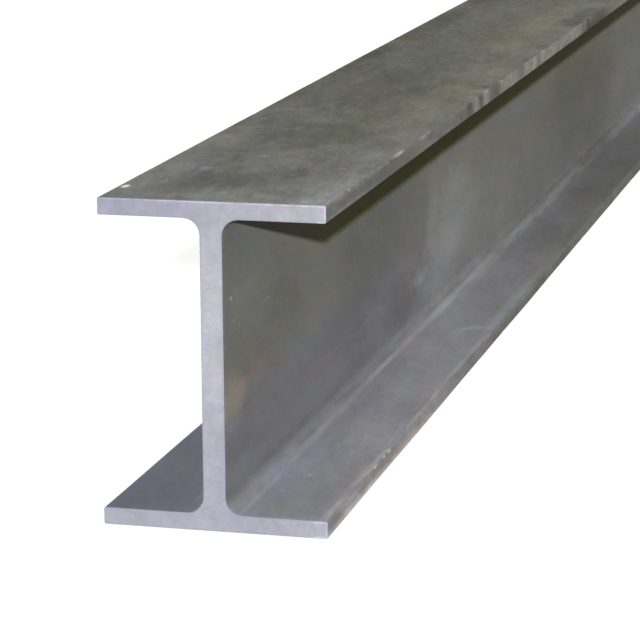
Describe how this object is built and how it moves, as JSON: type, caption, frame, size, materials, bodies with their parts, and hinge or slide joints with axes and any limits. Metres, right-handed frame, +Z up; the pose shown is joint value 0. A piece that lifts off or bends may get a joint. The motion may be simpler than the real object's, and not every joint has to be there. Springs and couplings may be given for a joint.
{
  "type": "steel i-beam",
  "caption": "Straight rolled steel I-beam with parallel flanges, filleted web roots and square sawn ends, for carrying or framing loads.",
  "frame": {"origin": "middle of the underside of the lower flange, halfway along the bar", "axes": "+Y along the bar, +Z up along the web, +X across the flanges"},
  "size_m": [0.139, 2, 0.2],
  "materials": {
    "rolled_steel": "dull grey mill scale with faint rolling streaks and scuffs, and lighter bare steel on the sawn ends"
  },
  "bodies": {
    "root": {"i_beam": "rolled_steel"}
  },
  "joints": []
}
